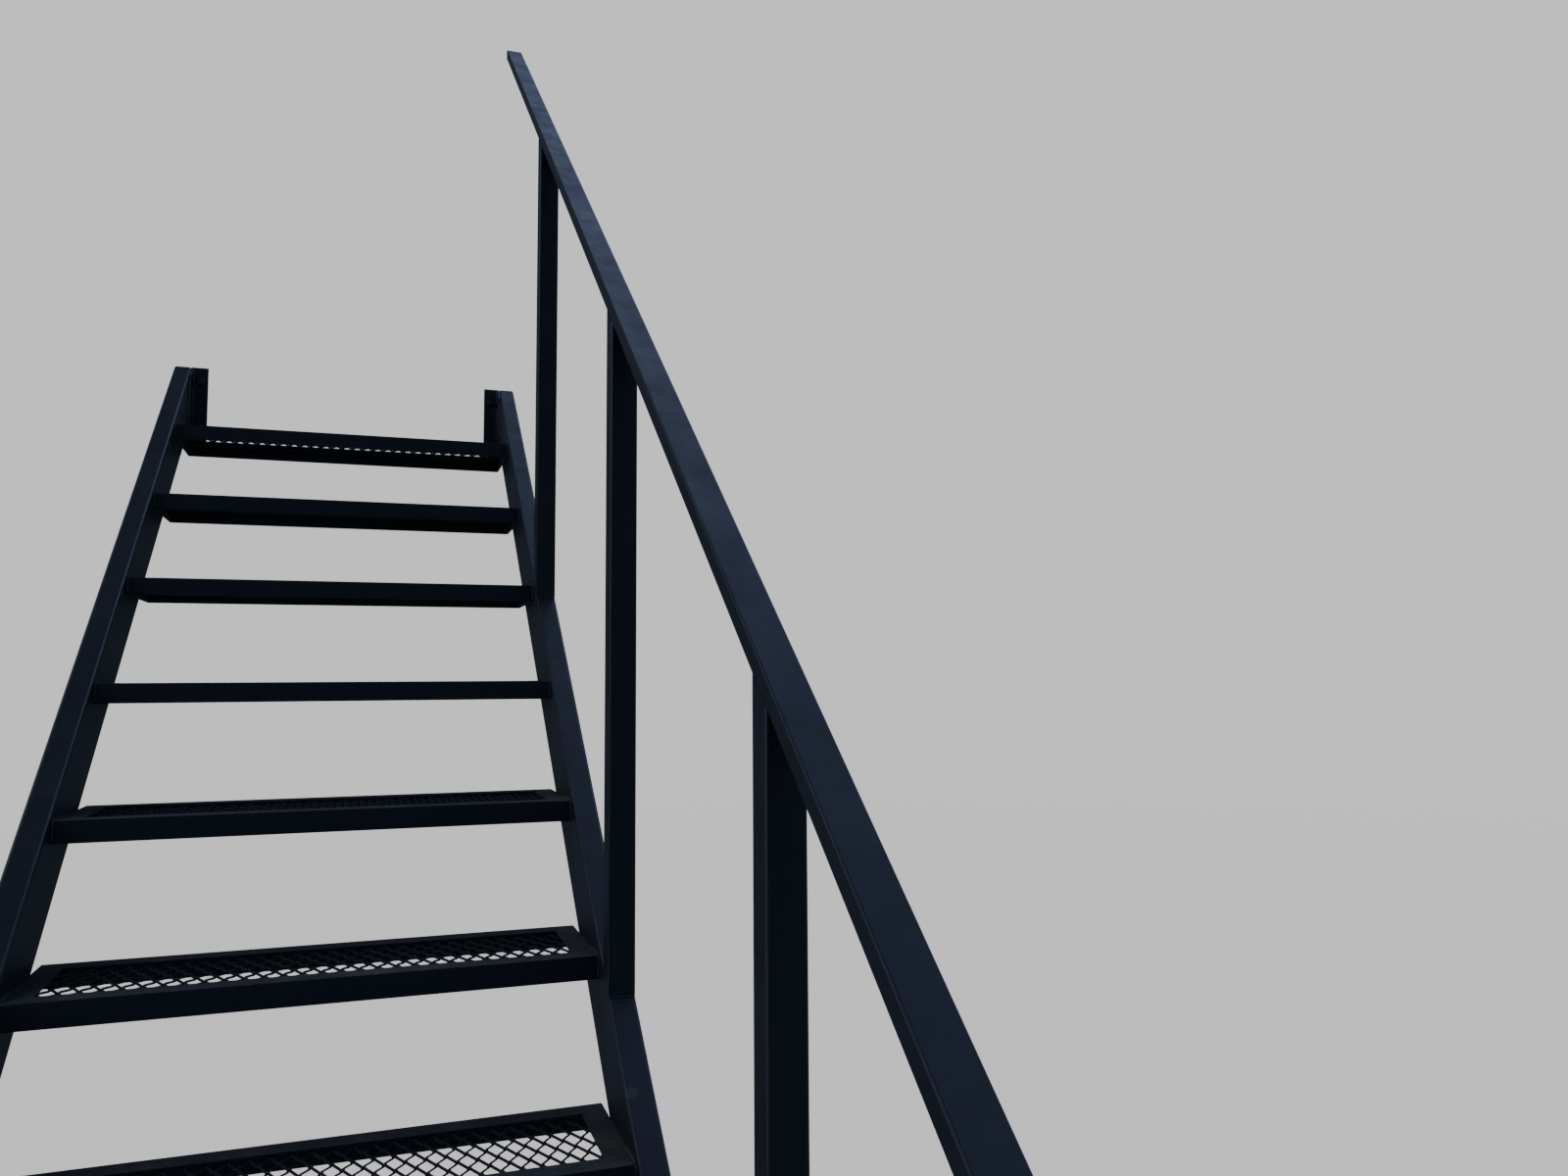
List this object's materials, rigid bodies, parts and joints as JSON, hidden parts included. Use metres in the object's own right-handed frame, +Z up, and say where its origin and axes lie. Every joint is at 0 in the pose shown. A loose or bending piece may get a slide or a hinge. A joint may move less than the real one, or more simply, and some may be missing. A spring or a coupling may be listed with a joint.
{
  "type": "straight fire escape stair with a handrail on one side",
  "caption": "Straight dark painted steel stair with open mesh treads between two tube stringers and a handrail on one side.",
  "frame": {"origin": "middle of the underside of the right base plate, on the ground", "axes": "+X to the right across the stair, +Y up the stair towards the wall, +Z up"},
  "size_m": [0.945, 4.4325, 4.418],
  "materials": {
    "painted_steel": "satin",
    "mesh_steel": "satin"
  },
  "bodies": {
    "root": {"left_base_plate": "painted_steel", "right_base_plate": "painted_steel", "left_stringer": "painted_steel", "right_stringer": "painted_steel", "left_wall_cleat": "painted_steel", "right_wall_cleat": "painted_steel", "tread_frame_1": "painted_steel", "tread_frame_2": "painted_steel", "tread_frame_3": "painted_steel", "tread_frame_4": "painted_steel", "tread_frame_5": "painted_steel", "tread_frame_6": "painted_steel", "tread_frame_7": "painted_steel", "tread_frame_8": "painted_steel", "tread_frame_9": "painted_steel", "tread_frame_10": "painted_steel", "tread_frame_11": "painted_steel", "tread_frame_12": "painted_steel", "tread_frame_13": "painted_steel", "tread_frame_14": "painted_steel", "tread_frame_15": "painted_steel", "tread_frame_16": "painted_steel", "tread_mesh_1": "mesh_steel", "tread_mesh_2": "mesh_steel", "tread_mesh_3": "mesh_steel", "tread_mesh_4": "mesh_steel", "tread_mesh_5": "mesh_steel", "tread_mesh_6": "mesh_steel", "tread_mesh_7": "mesh_steel", "tread_mesh_8": "mesh_steel", "tread_mesh_9": "mesh_steel", "tread_mesh_10": "mesh_steel", "tread_mesh_11": "mesh_steel", "tread_mesh_12": "mesh_steel", "tread_mesh_13": "mesh_steel", "tread_mesh_14": "mesh_steel", "tread_mesh_15": "mesh_steel", "tread_mesh_16": "mesh_steel", "post_1": "painted_steel", "post_2": "painted_steel", "post_3": "painted_steel", "post_4": "painted_steel", "post_5": "painted_steel", "handrail": "painted_steel", "rail_upper_cap": "painted_steel", "rail_lower_cap": "painted_steel"}
  },
  "joints": []
}
